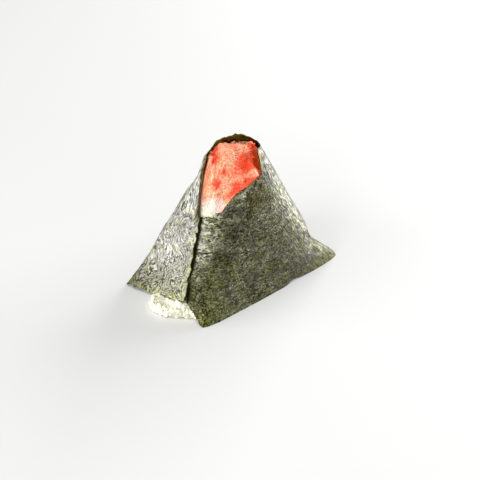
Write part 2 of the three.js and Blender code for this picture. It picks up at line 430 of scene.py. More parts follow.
# thin: light comes through the edges and the lower corners
thin = np.exp(-np.maximum(from_edge, 0) / 2.0) * mix(0.35, 1.0, ease(2.8, 3.1, p))
thin = thin + np.exp(-((np.hypot(p * 84, z * 0.7) / 9) ** 1.3)) + np.exp(-from_corner(1) / 5)
thin = thin + 0.3 * np.exp(-((from_corner(3) / 13) ** 1.5))
# tips: the two outstanding corners, with one bright fleck on the right one
fleck = bell(p, 0.955, 0.05) * bell(z, 8, 4.5)
tips = (bell(from_corner(1), 0, 15) + bell(from_corner(3), 0, 15)) * (1 - 0.6 * fleck)
# dark_rim: the upper rim, widest on the flap, and a blot at the upper end of its free edge
rim = ease(3.4, 1.8, from_top) * ease(2.85, 3.05, p) * (1 - 0.85 * bell(p, 3.33, 0.1))
rim = rim + 0.6 * np.exp(-from_top / 0.7)
blot = bell(p, 3.70, 0.06) * bell(z, 56, 6)
# gap: painted shadow in the open seam, and a painted dark line of shade along a crease that runs
# from it over the front
seam_width = 0.018 + 0.014 * ease(20, 30, z) + 0.008 * np.sin(0.13 * z + 2.6)
seam_width = seam_width + 0.009 * at_edge(z / ROUND, 2.4, 11)
seam = np.exp(-(((p - (SHEET_END - 4)) / seam_width) ** 4)) * (p < 0)
crease_z = 34.0 + 0.8 * ease(-0.2, -0.02, p) - 12 * np.clip(p, 0, 1)
crease = bell(z, crease_z, 0.62) * ease(-0.3, -0.22, p) * (1 - 0.5 * ease(0.06, 0.1, p))
gap = np.maximum(seam, 0.85 * crease * ease(0.33, 0.24, p))
# glow: the lower edge of the flap and the foot of the front left corner, lit from behind
glow = np.exp(-from_bottom / 0.9) * ease(3.2, 3.35, p) * ease(3.66, 3.55, p)
glow = np.maximum(glow, 0.7 * bell(p, -0.035, 0.03) * ease(12, 4, z))
print("share of the sheet that light shines through:", round(float((thin > 0.5).mean()), 3))

# %% [markdown]
# ## Marks on the faces
# The faces of a wrapped sheet differ as well. The foot is dull from handling, the nori beside the
# seam gets a pale painted sheen, the front has darker and browner patches, and painted shade lies on
# the lower front and at the foot of the seam. All marks are collected in one table, and the material
# reads them by the same names. Two more marks are vectors: coordinates that run with the strands on
# the left face and on the right edge.

# %% Marks on the faces of the sheet
# matt: the dull foot, the strip beside the seam and the outstanding corners
matt = 0.7 * (1 - ease(0, 34, z))
matt = np.maximum(matt, ease(-0.45, -0.3, p) * (1 - ease(0.0, 0.1, p)) * (1 - ease(22, 44, z)))
matt = np.maximum(matt, tips)
# stretched: painted sheen on the strip beside the seam, where the curved corner catches the
# light, and pale, pulled nori along the front rim
fold = mix(-0.04, 0.12, ease(30, 46, z))
stretched = ease(-0.4, -0.28, p) * (1 - ease(fold - 0.06, fold + 0.1, p)) * ease(26, 34, z)
torn = ease(-0.1, 0.0, p) * ease(0.72, 0.45, p) * np.exp(-from_top / 7)
stretched = np.maximum(stretched, np.maximum(torn * 0.9, fleck * 0.55))
# low_left: the foot of the flap; seam_foot: painted shadow of the flap on the foot of the strip
# under its free edge
low_left = ease(3.0, 3.2, p) * ease(24, 8, z) + 0.8 * bell(from_corner(3), 0, 14) * (p > 2.5)
seam_foot = ease(-0.3, -0.25, p) * ease(0.06, -0.04, p) * ease(26, 14, z)
# blots: three darker patches of the front, as p, z, half width, half height and strength
BLOTS = ((0.27, 41, 0.08, 4.5, 0.9), (0.10, 31, 0.10, 4.5, 0.8), (0.42, 50, 0.07, 3.5, 0.5))
blots = sum(depth * bell(p, at_p, wide) * bell(z, at_z, tall) for at_p, at_z, wide, tall, depth in BLOTS)
# warm: the olive brown patch; dim: painted shade on the lower front; upper: the uneven band under
# the front rim
warm = bell(p, 0.60, 0.15) * bell(z, 57, 7)
dim = ease(0.05, 0.45, p) * ease(0.92, 0.74, p) * ease(38, 12, z)
upper = ease(-0.1, 0.05, p) * ease(0.85, 0.65, p) * bell(from_top, 0, 16)
# wing: the foot of the right corner; ridge: the dark fold on its crest
wing = right * ease(34, 14, z)
ridge = bell(p, 1.03, 0.045) * (0.3 + 0.7 * ease(9, 14, z)) * ease(24, 17, z)
marks = {
    "thin": thin, "tips": tips, "dark_rim": rim + blot, "gap": gap, "glow": glow, "matt": matt,
    "stretched": stretched, "low_left": low_left, "seam_foot": seam_foot, "blots": blots,
    "warm": warm, "dim": dim, "upper": upper, "wing": wing, "ridge": ridge, "right": right,
    "left": ease(2.94, 3.1, p), "back": ease(1.4, 1.8, p) * (1 - ease(2.9, 3.05, p)), "inside": 0 * p,
}
for name, values in marks.items():
    inner_values = np.full(inner_number.size, float(name == "inside"))
    paint(nori, name, np.concatenate([np.clip(values, 0, 1).ravel(), inner_values]))
left_run = run_along(smooth_face, (0.33, -0.02, 0.94), (0, 1, 0), 4.6, 1.7 - 1.3 * ease(35, 60, z))
right_run = run_along(smooth_face, (-0.43, 0.20, 0.88), (0.7, 0.7, 0), 3.5, 0.35 + 0 * z)
for name, run in (("left_run", left_run), ("right_run", right_run)):
    paint(nori, name, np.concatenate([run.reshape(-1, 3), inner.reshape(-1, 3)]) * MM)
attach(nori, "root")
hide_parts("nori")
print("marks on the sheet:", ", ".join(marks))

# %% [markdown]
# ## The rice
# The rice is pressed short grains, each about 6 mm long when cooked. Only a little of it shows: a
# tongue squeezed out under the flap, the tip of the opening, and the flat underside. Filling the
# whole body with grains would be wasteful, because most of them would never be seen. So a core
# slightly smaller than the rice fills the inside, and real grains are laid over it where it shows.

# %% Shape of the rice
RICE_TONGUE, RICE_TOP, GAP = 10.0, 54.0, 0.4
# how far the rice ends below the nori's edge and curls in at the ground, and where it is widest
UNDER_EDGE, UNDERCUT, WIDEST = 0.7, 2.2, 0.35


def bare_height(p):
    """Height up to which the rice is bare, just under the edge of the nori."""
    inside_edge = np.where(p > 3.3, sheet_bottom(p - 4), 99)
    outside_edge = np.where(p < SHEET_END + 0.02, sheet_bottom(p), 99)
    least = np.where((p > 3.12) & (p < 3.9), 0.8, 2.6)
    return np.maximum(least, np.minimum(inside_edge, outside_edge) - UNDER_EDGE)


def tongue(p):
    """How far along the foot the rice is squeezed out: 1 in its middle, 0 elsewhere."""
    return ease(3.27, 3.45, p) * (1 - ease(3.56, 3.90, p))


def rice_side(p, t, inset):
    """t from 0 to 1 is the bare foot with the tongue, 1 to 2 the wall behind the nori."""
    bare = bare_height(p)
    z = np.where(t < 1, bare * t, mix(bare, RICE_TOP, t - 1))
    under = 1 - np.sqrt(1 - (1 - np.clip(t / 0.45, 0, 1)) ** 2)
    over = np.sqrt(1 - np.clip((t - WIDEST) / (1 - WIDEST), 0, 1) ** 2)
    out = np.where(t < 1, RICE_TONGUE * tongue(p) * over - UNDERCUT * under, 0)
    return tent(p, np.maximum(z, inset * 0.4), out - GAP - inset, INSIDE_WING)


def side_shade(normals):
    """Shade of the rice: 1 on its sides and below, falling to 0 where it faces the sky."""
    return np.clip(1.15 - 1.25 * normals[..., 2], 0, 1)


print("bare height of the rice under the flap:", bare_height(np.array((3.4, 3.5, 3.6))).round(1))

# %% [markdown]
# ## Single grains
# One grain is a profile carried along a slightly bent path: rings of eight points whose radius is
# a power of (1 - s^2) at the place s along the grain, so that it closes at both tips. All grains are
# one mesh. Each is turned by its own three axes: out of the surface, a random direction in it, and
# the direction across that. Grains that would reach under the ground are moved up.

# %% The grain and how copies are laid
rng = np.random.default_rng(12)


def capsule(around, rings, fullness, bend):
    """Rings at s from -1 to 1 with radius (1 - s^2)^fullness, bent by bend * (1 - s^2)."""
    s = np.sin(np.linspace(-np.pi / 2, np.pi / 2, rings + 2))[1:-1, None]
    turn = np.linspace(0, 2 * np.pi, around, endpoint=False)[None, :]
    r = (1 - s**2) ** fullness
    ring = np.stack([s + 0 * turn, r * np.cos(turn), r * np.sin(turn) + bend * (1 - s**2)], -1)
    first = np.arange(around)
    after, last = (first + 1) % around, (rings - 1) * around
    tips = np.concatenate([
        np.stack([np.full(around, rings * around), after, first], -1),
        np.stack([np.full(around, rings * around + 1), last + first, last + after], -1),
    ])
    points = np.concatenate([ring.reshape(-1, 3), [(-1, 0, 0)], [(1, 0, 0)]])
    return points, grid_faces(rings, around, True), tips


def lay(name, shape, places, axes):
    """Copies of a shape in one mesh; axes holds three scaled direction vectors for each copy."""
    points, quads, tips = shape
    copies = np.einsum("gk,nkc->ngc", points, axes) + places[:, None]
    copies[..., 2] += np.maximum(0, 0.05 - copies[..., 2].min(1))[:, None]
    offset = (np.arange(len(places)) * len(points))[:, None, None]
    return build(name, copies, (quads[None] + offset).reshape(-1, 4), (tips[None] + offset).reshape(-1, 3))


def surface_spots(surface, a, b):
    """Points and outward normals of surface(a, b) from small steps along a and b."""
    along_a = surface(a + 0.01, b) - surface(a - 0.01, b)
    along_b = surface(a, b + 0.02) - surface(a, b - 0.02)
    return surface(a, b), unit(np.cross(along_a, along_b))


def spots_on(a_range, b_range, step_a, step_b, surface):
    """A jittered grid of spots on the surface."""
    a, b = np.meshgrid(np.arange(*a_range, step_a), np.arange(*b_range, step_b))
    a = a.ravel() + rng.uniform(-0.5, 0.5, a.size) * step_a
    b = b.ravel() + rng.uniform(-0.5, 0.5, b.size) * step_b
    return surface_spots(surface, a, b)


GRAIN = capsule(8, 7, 0.42, 0.12)
print("one grain has", len(GRAIN[0]), "points")

# %% [markdown]
# ## Grains on the tongue and underneath
# The grains lie in jittered rows: two layers on the bulge of the foot, and one on the underside,
# where rings of spots shrink towards the middle and fewer are kept there. Each grain is sunk by about
# its own half thickness, so that the surface of the bed follows the shape of the rice.

# %% Lay the grains
# lowest and highest half length, half width and half thickness of a grain
HALF_SIZES = ((2.5, 3.1), (1.4, 1.6), (1.25, 1.5))


def foot(p, turn):
    """The bare side of the rice; turn is the angle round its bulge, from -pi/2 to pi/2."""
    t = WIDEST + np.where(turn > 0, 1 - WIDEST, WIDEST) * np.sin(turn)
    return rice_side(p, t, 0.0)


beds = [
    spots_on((3.37, 3.92), (-0.8, 1.40), 0.036, 0.17, foot),
    spots_on((3.39, 3.90), (-0.4, 1.30), 0.044, 0.19, foot),
]
flat_p, shrink = np.meshgrid(np.arange(0, 4, 0.062), np.arange(0.07, 0.93, 0.085))
flat_p, shrink = flat_p.ravel() + rng.uniform(-0.03, 0.03, flat_p.size), shrink.ravel()
kept = rng.random(flat_p.size) < shrink
bottom = rice_side(flat_p[kept], 0.1, 1.5) * np.stack([shrink[kept]] * 2 + [0 * shrink[kept]], -1)
beds.append((bottom, np.tile((0.0, 0.0, -1.0), (len(bottom), 1))))
spots = np.concatenate([bed[0] for bed in beds])
normals = np.concatenate([bed[1] for bed in beds])
total = len(spots)
along = unit(np.cross(normals, rng.normal(size=(total, 3))))
across = np.cross(normals, along)
sizes = np.stack([rng.uniform(least, most, total) for least, most in HALF_SIZES], 1)
thick = sizes[:, 2]
axes = np.stack([along, across, normals], 1) * sizes[..., None]
centres = spots - normals * thick[:, None] * rng.uniform(0.9, 1.2, (total, 1))
grains = lay("rice_grains", GRAIN, centres, axes)
grain_shade = 0.75 * side_shade(normals) + 0.25 * rng.random(total)
paint(grains, "shade", np.repeat(grain_shade, len(GRAIN[0])))
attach(grains, "root")
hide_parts("rice")

# %% [markdown]
# ## The core of the rice
# The core is a tube of rings from the ground to the dish under the roe. Where it can be seen between
# the grains it is pushed out to just below them, dome by dome, so that no dark holes are left.

# %% Rice core
# middle of the heap of roe, and height of the dish in the rice under it
HEAP, RICE_DISH = np.array((-3.5, -2.5, 80.5)), 50.0


def outward(points):
    """Normals of a grid of points that is closed round its columns."""
    return unit(np.cross(np.roll(points, -1, 1) - np.roll(points, 1, 1), np.gradient(points, axis=0)))


def sockets(points, facing):
    """How far grains push the skin of the core out: the highest of their shrunken domes."""
    nearby = [
        ((points[:, None] - centres[None]) * axes[None, :, k] / (sizes[None, :, k] ** 2)[..., None]).sum(-1)
        for k in (0, 1)
    ]
    dome = np.sqrt(np.clip(1 - 0.9 * (nearby[0] ** 2 + nearby[1] ** 2), 0, 1))
    rise = ((centres[None] - points[:, None]) * facing[:, None]).sum(-1) + 0.84 * thick[None] * dome
    return np.where((dome > 0) & (facing @ normals.T > 0.75), rise, -9).max(1)


def closed_body(name, rings, low_middle, high_middle):
    """A tube of rings whose two ends are closed by fans to a middle point."""
    rows, columns = rings.shape[:2]
    around = np.arange(columns)
    after = (around + 1) % columns
    low, high = rows * columns, rows * columns + 1
    top = (rows - 1) * columns
    fans = np.concatenate([
        np.stack([np.full(columns, low), after, around], -1),
        np.stack([np.full(columns, high), top + around, top + after], -1),
    ])
    points = np.concatenate([rings.reshape(-1, 3), [low_middle], [high_middle]])
    return build(name, points, grid_faces(rows, columns, True), fans)


rice_p = crowd(np.linspace(0, 4, 400, endpoint=False))[None, :]
levels = np.concatenate([
    np.linspace(0, 0.33, 10),
    WIDEST + (1 - WIDEST) * np.sin(np.linspace(0, np.pi / 2, 26)),
    np.linspace(1.1, 2, 8),
])[:, None]
side = rice_side(rice_p, levels, 0)
side_out = outward(side)
seen = ((rice_p > 3.2) & (rice_p < 4.0) & (levels < 1)).ravel()
sink = np.full(seen.size, -0.9)
sink[seen] = np.clip(sockets(side.reshape(-1, 3)[seen], side_out.reshape(-1, 3)[seen]), -0.75, 0.3)
side = side + side_out * sink.reshape(side.shape[:2])[..., None]
side[..., 2] = np.maximum(side[..., 2], 0.35)
middle = np.array((HEAP[0], HEAP[1] + 1, RICE_DISH))
cover = [mix(side[-1], middle, share) for share in (0.3, 0.65)]
rice_core = closed_body("rice_core", np.concatenate([side, np.stack(cover)]), (0, 0, side[0, 0, 2]), middle)
core_shade = 0.75 * side_shade(side_out) + 0.12
paint(rice_core, "shade", np.concatenate([core_shade.ravel(), np.full(2 * rice_p.size + 2, 0.5)]))
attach(rice_core, "root")
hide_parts("rice")

# %% [markdown]
# ## The roe
# Salted roe is thousands of tiny eggs, about a millimetre across, held in soft clumps. The heap is one
# grid that runs from the nori's edge to its middle. In front it starts level with the nori, and
# inside the hood it starts lower. It is flat behind and falls away to the front and to the left.

# %% Shape of the heap
CAP_ROWS, ROE_ROUND, ROE_FLOOR = 165, 520, 52.0


def roe_edge(p):
    """Height where the roe meets the nori: level with it in front, lower inside the hood."""
    q = np.where(p > 3.72, p - 4, p)
    below = 0.1 + 6.7 * ease(0.8, 1.25, q) * (1 - 0.8 * ease(2.6, 3.2, q))
    below = below - 1.6 * bell(q, 2.6, 0.4) - 1.2 * bell(q, 3.33, 0.12) + 1.0 * bell(q, 3.61, 0.05)
    below = below + (0.3 + 0.9 * ease(1.0, 1.5, q)) * (at_edge(q, 8.0, 70) + 0.6 * at_edge(q, 3.5, 71))
    return np.maximum(sheet_top(q) - below, RICE_TOP + 1.2)


def roe_inset(p, t):
    """The roe stands a little back from the free side of the flap."""
    return -GAP - 0.1 - 0.2 * t * ease(3.1, 3.4, p) * (1 - ease(3.66, 3.8, p))


def heap_height(x, y):
    """Flat behind, falling away to the front and to the left."""
    return HEAP[2] - 16.5 * (np.maximum(0, -y) / 12.5) ** 1.8 - 0.022 * np.maximum(0, -x - 8) ** 2


def roe_cap(p, s):
    """From the edge (s = 0) to the middle (s = 1) of the heap's surface."""
    edge = tent(p, roe_edge(p), roe_inset(p, 1), INSIDE_WING)
    x, y = mix(edge[..., 0], HEAP[0], s), mix(edge[..., 1], HEAP[1], s)
    return np.stack([x, y, mix(edge[..., 2], heap_height(x, y), ease(0, 0.42, s))], -1)


print("height of the roe's edge at the corners:", roe_edge(np.arange(4.0)).round(1))

# %% [markdown]
# ## Relief of the heap
# The smooth heap is moved along its normals in four sizes: a few listed mounds and hollows, clumps,
# lumps and eggs. A ball for every egg would need millions of faces. Instead, the eggs are the domes
# of a packed bed of beads that the surface cuts through, so that they fit together without gaps.

# %% Heap of roe
# x, y, radius and height of the mounds and hollows in the heap
MOUNDS = (
    (4.0, -10.4, 2.8, 2.6),
    (7.5, -6.5, 3.0, -2.0),
    (-9.0, 6.0, 4.0, 2.2),
    (5.0, 3.0, 5.0, -2.2),
    (-17.2, -4.5, 3.2, -0.5),
    (-0.5, -8.2, 4.2, -1.0),
    (-13.8, 4.2, 2.6, -2.2),
    (-17.0, -9.0, 2.2, -0.9),
    (-7.0, -11.5, 2.6, -0.8),
    (-7.0, 1.0, 4.5, 0.6),
    (-20.5, -4.5, 4.5, 0.7),
)
roe_p = crowd(np.linspace(0, 4, ROE_ROUND, endpoint=False))[None, :]
s = np.linspace(0, 0.985, CAP_ROWS)[:, None]
bare_cap = roe_cap(roe_p, s)
cap_out = outward(bare_cap)
mounds = sum(h * np.exp(-((bare_cap[..., :2] - (x, y)) ** 2).sum(-1) / r**2) for x, y, r, h in MOUNDS)
clumps = noise(bare_cap, 6.0, 21) - 0.5
lumps = 0.6 * noise(bare_cap, 2.8, 22) + 0.4 * noise(bare_cap, 1.7, 23) + 0.25 * beads(bare_cap, 3.4, 31)
eggs = beads(bare_cap, 0.95, 41)
relief = mounds + 1.6 * clumps + 1.5 * (lumps - 0.6) + 0.40 * (eggs - 0.5)
cap = bare_cap + cap_out * (relief * mix(0.25, 1.0, ease(0.0, 0.14, s)))[..., None]
wall_t = np.linspace(0, 0.97, 7)[:, None]
wall = tent(roe_p, mix(RICE_TOP + GAP, roe_edge(roe_p), wall_t), roe_inset(roe_p, wall_t), INSIDE_WING)
floor_middle = (HEAP[0], HEAP[1] + 1, ROE_FLOOR)
roe_core = closed_body("roe_core", np.concatenate([wall, cap]), floor_middle, cap[-1].mean(0))

# %% [markdown]
# ## Red and pale places of the roe
# Three numbers per vertex tell the finish what to do: how near the top of an egg the point is, how
# red it is, and a fine tone. The redness is a sum of listed round spots, of the clumps, which are
# redder where they are thick, and of bands along the edge.
# Some of the spots and the bands are painted: a dark red band is painted shade under the right rim of the
# hood, a paler band is painted light where the flap's rim shades the roe, and a redder line is painted
# shade on a crest that the light catches.

# %% Marks on the roe
# x, y, z, radius and redness of the red places, some of them painted shade; a negative one is pale
REDS = (
    (0.1, -6.6, 73.6, 4.2, 1.0),
    (-1.2, -7.7, 71.0, 3.2, 0.5),
    (8.0, -2.5, 78.0, 2.6, 1.6),
    (5.8, -7.6, 77.1, 2.2, 1.0),
    (5.6, -8.5, 71.5, 2.0, 1.3),
    (-11.4, 4.3, 80.4, 2.4, 0.5),
    (-17.8, -0.8, 79.4, 2.2, -0.4),
    (-15.0, -1.2, 79.4, 2.2, 0.9),
    (-19.5, -10.5, 55.5, 3.2, -0.7),
    (-17.4, -6.4, 67.8, 2.6, 1.0),
    (-13.9, -6.8, 75.0, 2.0, 0.6),
    (-8.8, -10.4, 63.7, 3.0, 0.9),
    (-1.6, -10.1, 63.5, 3.0, 0.9),
    (1.9, -11.2, 64.5, 2.6, 0.8),
    (3.4, -10.3, 69.1, 2.0, -1.0),
    (1.1, -9.1, 68.1, 1.8, -0.7),
    (-10.0, -2.5, 79.0, 5.0, -0.35),
    (-12.9, 1.5, 80.3, 2.2, 0.3),
    (-17.5, -9.5, 58.5, 3.0, -0.6),
    (-6.5, -7.0, 73.0, 3.5, 0.45),
    (-12.5, -11.0, 60.5, 2.5, 0.8),
    (-21.5, -7.0, 59.0, 5.5, -0.75),
    (-25.3, -6.2, 54.5, 4.6, -1.6),
)
redness_and_shade = sum(red * np.exp(-((bare_cap - (x, y, z)) ** 2).sum(-1) / r**2) for x, y, z, r, red in REDS)
redness_and_shade = redness_and_shade + 0.9 * clumps + 0.4 * (lumps - 0.6)
# painted shade: a dark red band under the right rim of the hood
redness_and_shade = redness_and_shade + 2.0 * bell(s, 0, 0.19) * ease(0.73, 0.81, roe_p) * (1 - ease(1.05, 1.3, roe_p))
# painted light: a paler band where the rim of the flap shades the roe
redness_and_shade = redness_and_shade - 0.4 * bell(s, 0, 0.12) * ease(3.05, 3.25, roe_p) * (1 - ease(3.6, 3.75, roe_p))
# painted shade on the crest that the low light from behind on the left catches
from_crest = bare_cap[..., 0] + 17.2 + 0.2 * (77 - bare_cap[..., 2])
crest_line = bell(from_crest, 0, 1.5) * (bare_cap[..., 1] < -1) * ease(60, 66, bare_cap[..., 2])
redness_and_shade = redness_and_shade + 0.4 * crest_line
egg_tone = noise(cap, 0.8, 44) + 0.5 * (noise(cap, 0.45, 45) - 0.5)
plain_wall = np.zeros(wall[..., 0].size)
wall_redness = (-1.5 * (ease(3.55, 3.65, roe_p) + ease(0.3, 0.2, roe_p)) * (wall_t > 0.3)).ravel()
paint(roe_core, "egg", np.concatenate([plain_wall, eggs.ravel(), [0, 0.5]]))
paint(roe_core, "redness_and_shade", np.concatenate([wall_redness, redness_and_shade.ravel(), [0, 0]]))
paint(roe_core, "tone", np.concatenate([plain_wall, egg_tone.ravel(), [0, 0]]))
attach(roe_core, "root")
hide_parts("roe")
print("redness from", round(float(redness_and_shade.min()), 2), "to", round(float(redness_and_shade.max()), 2))

# %% [markdown]
# ## Loose eggs
# Relief alone looks too smooth against the light, so single eggs lie on the heap: small capsules,
# most of them on the outer rows of the cap, which are the longest. Each is sunk or raised a little,
# has its own size, and takes its redness from the surface under it.

# %% Loose eggs
EGG = capsule(6, 4, 0.5, 0.0)
LOOSE = 3600
row = (rng.random(LOOSE) ** 1.4 * (CAP_ROWS - 5)).astype(int) + 1
column = rng.integers(0, ROE_ROUND, LOOSE)
size = rng.uniform(0.26, 0.46, (LOOSE, 1, 1))
places = cap[row, column] + cap_out[row, column] * rng.uniform(-0.15, 0.25, (LOOSE, 1))
loose = lay("roe_eggs", EGG, places, np.eye(3)[None] * size * rng.uniform(0.85, 1.1, (LOOSE, 3, 1)))
for name, values in (
    ("egg", rng.uniform(0.5, 1.0, LOOSE)),
    ("redness_and_shade", redness_and_shade[row, column]),
    ("tone", rng.uniform(0.2, 0.7, LOOSE)),
):
    paint(loose, name, np.repeat(values, len(EGG[0])))
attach(loose, "root")
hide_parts("roe")

# %% [markdown]
# ## Grains at the tip
# At the lowest end of the opening the rice shows beside the roe. A few grains lie on the cap there,
# and a few stand in the wall of the rice just below it.

# %% Grains at the tip
TIP_HALF_SIZE = (3.2, 1.6, 1.4)


def tip_wall(p, z):
    """The wall of the rice where the sheet ends lowest."""
    return tent(p, z, -GAP, INSIDE_WING)


on_cap = spots_on((3.79, 3.92), (0.03, 0.15), 0.045, 0.04, roe_cap)
on_wall = spots_on((3.76, 3.97), (52.4, 55.6), 0.035, 1.1, tip_wall)
tip_spots, tip_out = (np.concatenate(pair) for pair in zip(on_cap, on_wall))
lie = unit(np.cross(tip_out, rng.normal(size=tip_spots.shape)))
tip_axes = np.stack([lie, np.cross(tip_out, lie), tip_out], 1) * np.array(TIP_HALF_SIZE)[:, None]
tip_grains = lay("rice_tip_grains", GRAIN, tip_spots - tip_out * 1.35, tip_axes)
paint(tip_grains, "shade", np.repeat(rng.random(len(tip_spots)) * 0.4 + 0.3, len(GRAIN[0])))
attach(tip_grains, "root")
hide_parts("rice")

# %% [markdown]
# ## Writing finishes as sums
# A material is a small network of nodes. `Wire` wraps one output socket, so that `0.5 + 2 * grain`
# adds the Math nodes for it. Colours are mixed with `blend`, and any other node comes from
# `Finish.node`, which takes its type, its settings and its inputs.

# %% The socket class
class Wire:
    """One output socket of a node, with Python's arithmetic on values."""

    def __init__(self, finish, socket):
        self.finish, self.socket = finish, socket

    def _math(self, operation, *values):
        return self.finish.node("ShaderNodeMath", {"operation": operation}, dict(enumerate(values)))

    def __add__(self, other):
        return self._math("ADD", self, other)

    def __radd__(self, other):
        return self._math("ADD", other, self)

    def __sub__(self, other):
        return self._math("SUBTRACT", self, other)

    def __rsub__(self, other):
        return self._math("SUBTRACT", other, self)

    def __mul__(self, other):
        return self._math("MULTIPLY", self, other)

    def __rmul__(self, other):
        return self._math("MULTIPLY", other, self)


class Finish:
    """A material with one Principled shader, and short ways to add nodes to it."""

    def __init__(self, name, **constants):
        self.material = bpy.data.materials.new(name)
        self.material.use_nodes = True
        self.tree = self.material.node_tree
        self.shader = self.tree.nodes["Principled BSDF"]
        for socket, value in constants.items():
            self.shader.inputs[socket.replace("_", " ")].default_value = value

    def node(self, kind, settings=None, inputs=None, output=0):
        """Add a node; its inputs are values or wires, and one of its outputs comes back."""
        made = self.tree.nodes.new(kind)
        for key, value in (settings or {}).items():
            setattr(made, key, value)
        for key, value in (inputs or {}).items():
            if isinstance(value, Wire):
                self.tree.links.new(value.socket, made.inputs[key])
            else:
                made.inputs[key].default_value = value
        return Wire(self, made.outputs[output])

    def spread(self, value, low, high):
        """0 at low, 1 at high, smooth between and clipped."""
        return self.node("ShaderNodeMapRange", {"interpolation_type": "SMOOTHSTEP"},
                         {"Value": value, "From Min": low, "From Max": high})

    def blend(self, share, first, second):
        """A colour between two colours; share is 0 for the first."""
        first = (*first, 1.0) if isinstance(first, tuple) else first
        second = (*second, 1.0) if isinstance(second, tuple) else second
        return self.node("ShaderNodeMix", {"data_type": "RGBA"}, {0: share, 6: first, 7: second}, 2)

    def place(self, stretch=(1, 1, 1)):
        """Object coordinates, scaled by stretch."""
        here = self.node("ShaderNodeTexCoord", output="Object")
        return self.node("ShaderNodeMapping", inputs={"Vector": here, "Scale": stretch})

    def stored(self, name, output="Fac"):
        """What `paint` stored under this name: a number, or a vector from the output "Vector"."""
        return self.node("ShaderNodeAttribute", {"attribute_name": name}, output=output)

    def clouds(self, where, size_mm, detail=2.0, twist=0.0, rough=0.5):
        """Blender's noise; size_mm is about the width of one patch."""
        return self.node("ShaderNodeTexNoise", {"noise_type": "FBM", "normalize": True},
                         {"Vector": where, "Scale": 1000.0 / size_mm, "Detail": detail,
                          "Distortion": twist, "Roughness": rough})

    def bump(self, height, distance_mm, strength=1.0):
        """A surface direction that makes the height look like relief."""
        return self.node("ShaderNodeBump", inputs={"Height": height, "Distance": distance_mm * MM,
                                                   "Strength": strength})

    def wear(self, **wires):
        """Link wires to the Principled shader's sockets."""
        for socket, wire in wires.items():
            self.tree.links.new(wire.socket, self.shader.inputs[socket.replace("_", " ")])

    def darken(self, share, colour):
        """Mix a second, quite matt shader over the first, mostly for painted shade, as at the bottom of a
        crease.
        """
        dark = self.node("ShaderNodeBsdfPrincipled",
                         inputs={"Base Color": colour, "Roughness": 1.0, "Specular IOR Level": 0.0})
        glossy = Wire(self, self.shader.outputs[0])
        both = self.node("ShaderNodeMixShader", inputs={0: share, 1: glossy, 2: dark})
        self.tree.links.new(both.socket, self.tree.nodes["Material Output"].inputs["Surface"])


def dress(piece, finish):
    """Give a piece its finish."""
    piece.data.materials.clear()
    piece.data.materials.append(finish.material)
    print(piece.name, "wears", finish.material.name, "with", len(finish.tree.nodes), "nodes")


print("sums, differences and products of wires become Math nodes")

# %% [markdown]
# ## Finish of the nori
# Nori is nearly black green, but its dry, wrinkled surface is slightly glossy, so ridges that face
# the light look silver grey and the creases stay dark. The strands are noise that is stretched along
# the stored run coordinates on the left and right faces. Wider noise makes the patches of yellow
# green and of grey, and the mottling inside them. A scanned texture would show every strand of one
# sheet, but noise stays sharp at any distance and needs no file.

# %% Strands and patches of the nori
nori_look = Finish("nori_skin", Specular_IOR_Level=0.85)
clouds, spread, blend = nori_look.clouds, nori_look.spread, nori_look.blend
at = SimpleNamespace(**{name: nori_look.stored(name) for name in marks})
plain = 1 - at.left - at.right
here, level = nori_look.place(), nori_look.place(stretch=(0.38, 0.38, 1.0))
flap_strands = clouds(nori_look.stored("left_run", "Vector"), 0.90, 2.2, twist=0.40, rough=0.58)
edge_strands = clouds(nori_look.stored("right_run", "Vector"), 0.95, 1.5, twist=0.2)
strands = (flap_strands * 1.3 - 0.142) * at.left + edge_strands * at.right
strands = strands + clouds(level, 0.90, 1.0, twist=1.2) * plain
patch, mottle = clouds(here, 5.5, 3.0, twist=0.6), clouds(here, 1.7, 3.0, twist=0.8)
speck, grit = clouds(here, 0.75, 1.0), clouds(here, 0.95, 0.5, twist=0.6)
groups = spread(clouds(here, 4.0, 2.0, twist=0.5), 0.38, 0.56)
broad_patch = spread(clouds(here, 4.2, 2.0, twist=0.8), 0.57, 0.43)
# dark: the creases between the strands, where the second shader adds painted shade
deep = strands - at.low_left * 0.075 - at.left * 0.004 - at.stretched * 0.03
dark = spread(deep, 0.47, 0.37) * (0.3 + 0.7 * groups) * (1 - at.wing * 0.45)
print("nodes so far:", len(nori_look.tree.nodes))

# %% [markdown]
# ## Colours of the nori
# Each line lays one more colour over the skin where a mark or a patch asks for it. Green and grey
# come first, then the paler crests of the strands, partly painted sheen, pale dots of loose fibre, the
# painted sheen beside the seam, the thin edges that light shines through, and last the brown inner
# side.

# %% Colours of the nori
DARK_GREEN, GREEN = (0.014, 0.015, 0.001), (0.095, 0.098, 0.004)
DARK_GREY, GREY, FLAP_GREY = (0.028, 0.025, 0.012), (0.085, 0.078, 0.048), (0.095, 0.090, 0.080)
OLIVE_STRAND, GREY_STRAND = (0.26, 0.26, 0.09), (0.36, 0.355, 0.24)
FOOT_GREEN, PALE_DOT, PALE_SHEEN = (0.15, 0.155, 0.025), (0.36, 0.36, 0.25), (0.44, 0.45, 0.34)
THIN_EDGE, LIT_EDGE, OLIVE_BROWN = (0.20, 0.205, 0.012), (0.52, 0.53, 0.10), (0.125, 0.105, 0.020)
DARK_BROWN, BROWN, BROWN_GREEN = (0.020, 0.010, 0.001), (0.14, 0.080, 0.008), (0.085, 0.085, 0.006)
green = blend(spread(mottle, 0.36, 0.62), DARK_GREEN, GREEN)
# on the flap the grey is a silver grey, partly painted sheen of the light that glances off it
grey = blend(at.left, blend(spread(mottle, 0.36, 0.62), DARK_GREY, GREY), FLAP_GREY)
skin = blend(spread(patch + at.left * 0.08, 0.43, 0.54), green, grey)
